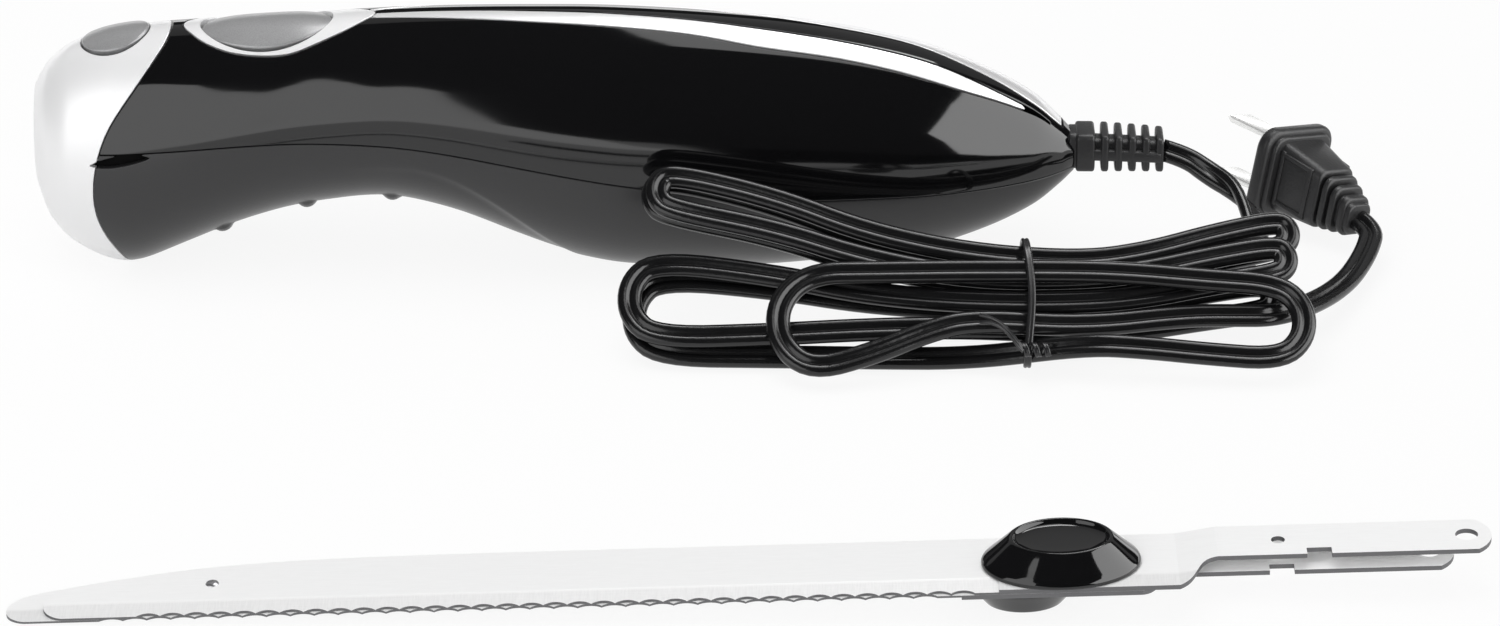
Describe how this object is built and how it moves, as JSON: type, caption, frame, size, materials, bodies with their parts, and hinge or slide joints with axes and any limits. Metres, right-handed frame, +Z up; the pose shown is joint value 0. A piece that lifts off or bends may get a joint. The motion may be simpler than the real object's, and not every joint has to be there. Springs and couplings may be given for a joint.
{
  "type": "electric carving knife",
  "caption": "Electric carving knife: curved two-tone handle with motor, worm drive, trigger and release button, flat flex tied in a hank with its plug, and a pair of scalloped blades laid in front",
  "frame": {"origin": "middle of the underside of the laid-out handle and blades, the flex left out", "axes": "+X from the handle's nose to its flex, +Y from the blades to the handle, +Z up"},
  "size_m": [0.3068, 0.1991, 0.0596],
  "materials": {
    "gloss_black": "gloss moulded",
    "satin_dark": "satin moulded",
    "satin_silver": "satin silver lacquer",
    "satin_grey": "satin moulded",
    "steel": "brushed",
    "flex_black": "smooth flexible plastic",
    "plug_black": "satin moulded",
    "brass": "stamped",
    "copper": "enamelled wire",
    "core_steel": "laminated",
    "gear_plastic": "moulded",
    "carbon": "pressed carbon"
  },
  "bodies": {
    "handle": {"upper_housing": "gloss_black", "lower_housing": "satin_dark", "nose_cap": "satin_silver", "trigger_bezel": "satin_silver", "trim_stripe_near": "satin_silver", "trim_stripe_far": "satin_silver", "release_spring": "steel", "trigger_spring": "steel", "switch_body": "plug_black", "wheel_axle": "steel", "gear_frame": "gear_plastic", "front_bearing": "brass", "rear_bearing": "brass", "stator_core": "core_steel", "field_coils": "copper", "brush_holders": "brass", "carbon_brushes": "carbon", "terminal_block": "gear_plastic", "housing_screws": "steel", "plug_body": "plug_black", "plug_prongs": "brass", "strain_relief": "plug_black", "cord_lead": "flex_black", "cord_hank": "flex_black", "cord_tail": "flex_black", "cord_tie": "flex_black"},
    "trigger": {"power_trigger": "satin_grey"},
    "release": {"release_button": "satin_grey", "latch_plate": "steel"},
    "armature": {"motor_shaft": "steel", "worm": "steel", "armature_core": "core_steel", "armature_windings": "copper", "commutator": "copper", "cooling_fan": "gear_plastic"},
    "wheel": {"worm_wheel": "gear_plastic"},
    "driver_near": {"blade_driver_near": "gear_plastic"},
    "driver_far": {"blade_driver_far": "gear_plastic"},
    "lower_blade_set": {"blade_lower": "steel", "hub_lower": "gloss_black"},
    "upper_blade_set": {"blade_upper": "steel", "hub_upper": "gloss_black", "blade_rivet": "steel"}
  },
  "joints": [
    {"name": "trigger_press", "type": "slide", "parent": "handle", "child": "trigger", "axis": [0, 0, -1], "range_m": [0, 0.003], "stiffness_N_per_m": 900, "deforming": ["trigger_spring"]},
    {"name": "release_press", "type": "slide", "parent": "handle", "child": "release", "axis": [0, 0, -1], "range_m": [0, 0.002], "stiffness_N_per_m": 900, "deforming": ["release_spring"]},
    {"name": "motor_spin", "type": "hinge", "parent": "handle", "child": "armature", "pos_m": [-0.0534, 0.07275, 0.029], "axis": [1, 0, 0], "continuous": true},
    {"name": "wheel_spin", "type": "hinge", "parent": "handle", "child": "wheel", "pos_m": [-0.0614, 0.07275, 0.044], "axis": [0, 1, 0], "continuous": true},
    {"name": "near_driver_slide", "type": "slide", "parent": "handle", "child": "driver_near", "axis": [1, 0, 0], "range_m": [-0.0035, 0.0035]},
    {"name": "far_driver_slide", "type": "slide", "parent": "handle", "child": "driver_far", "axis": [1, 0, 0], "range_m": [-0.0035, 0.0035]},
    {"name": "blades_lift", "type": "slide", "parent": "handle", "child": "lower_blade_set", "axis": [0, 0, 1], "range_m": [0, 0.06]},
    {"name": "blades_shear", "type": "slide", "parent": "lower_blade_set", "child": "upper_blade_set", "axis": [0.9995, 0, 0.0326], "range_m": [-0.004, 0.004]}
  ],
  "couplings": [
    {"joint": "wheel_spin", "follows": "motor_spin", "ratio": -0.035714},
    {"joint": "far_driver_slide", "follows": "near_driver_slide", "ratio": -1}
  ]
}
